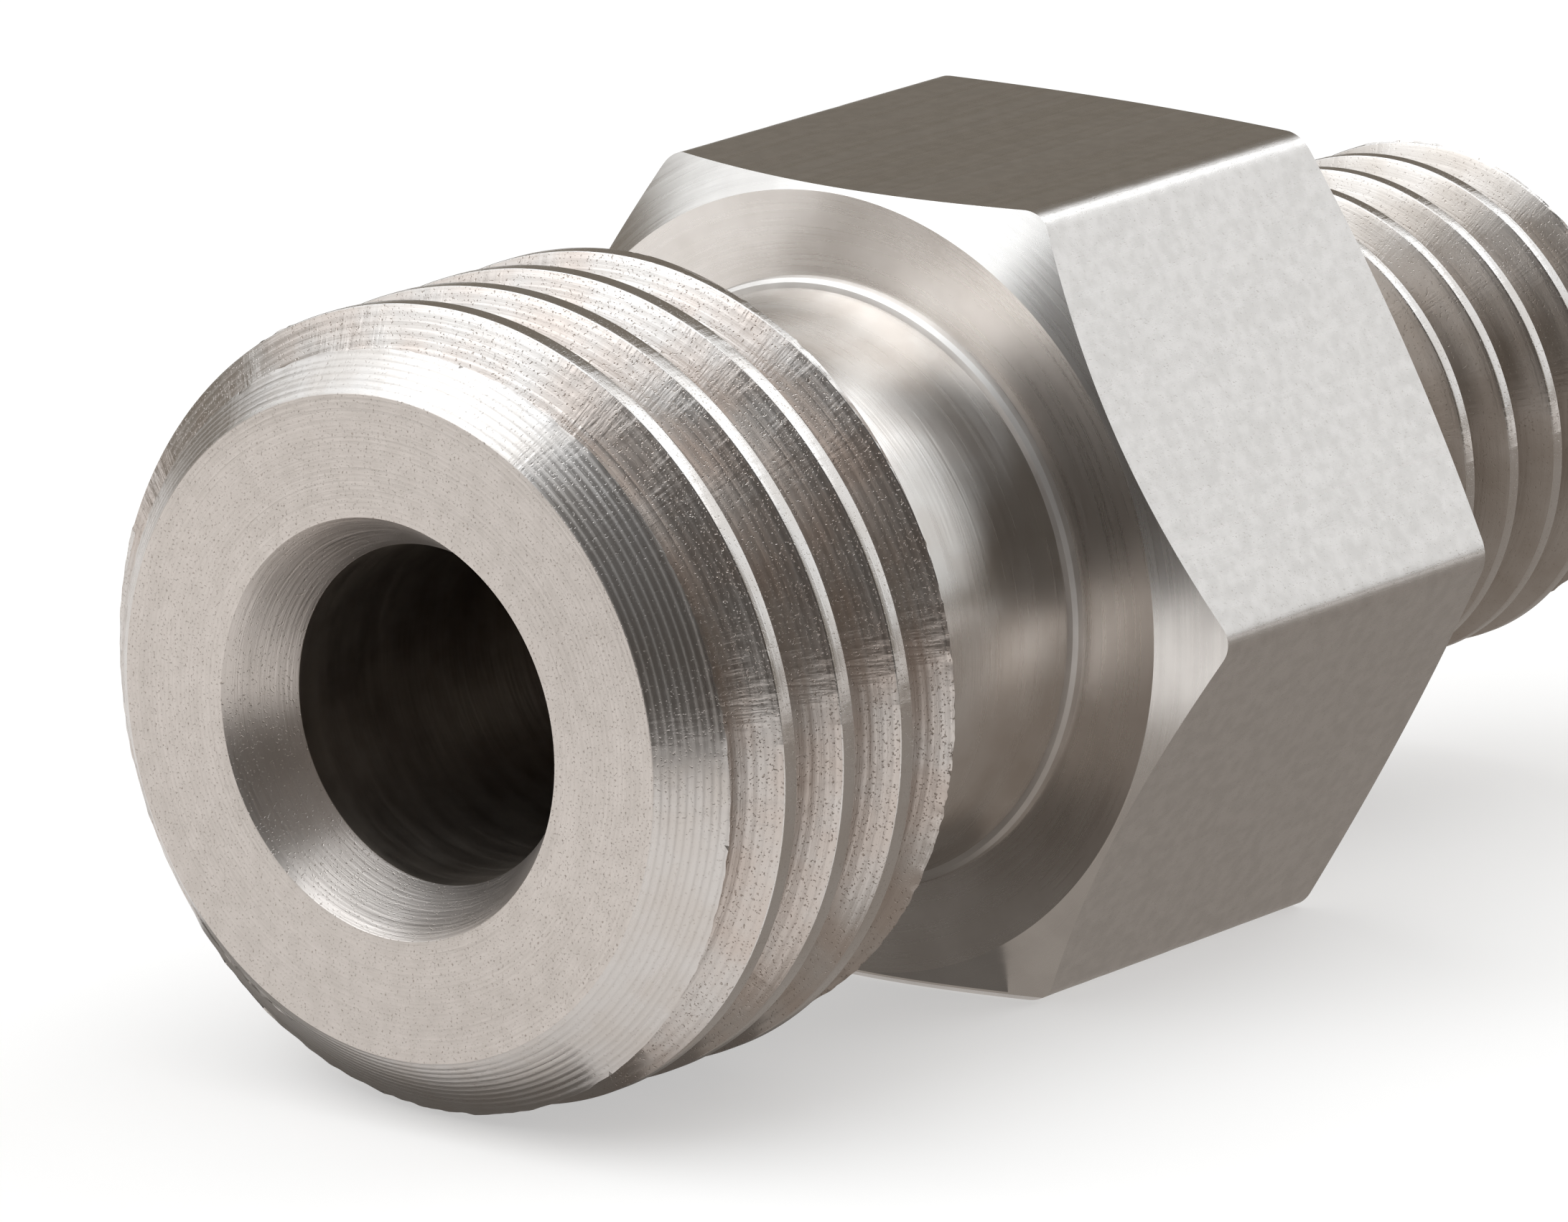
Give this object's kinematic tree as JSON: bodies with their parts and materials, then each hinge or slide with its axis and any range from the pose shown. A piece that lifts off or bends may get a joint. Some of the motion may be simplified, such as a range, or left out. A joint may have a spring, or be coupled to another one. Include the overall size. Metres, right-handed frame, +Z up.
{
  "type": "hose fitting",
  "caption": "Straight hose fitting: hexagon body between a larger male thread with a conical seat and a smaller male thread, with a plain bore right through.",
  "frame": {"origin": "centre of the front face, the face with the conical seat, on the axis of the front thread", "axes": "+X along the bore from the front face to the back, +Z up with one flat of the hexagon facing up"},
  "size_m": [0.0207, 0.0108, 0.0096],
  "materials": {
    "turned_steel": "turned and drawn, bare"
  },
  "bodies": {
    "root": {"fitting_body": "turned_steel"}
  },
  "joints": []
}
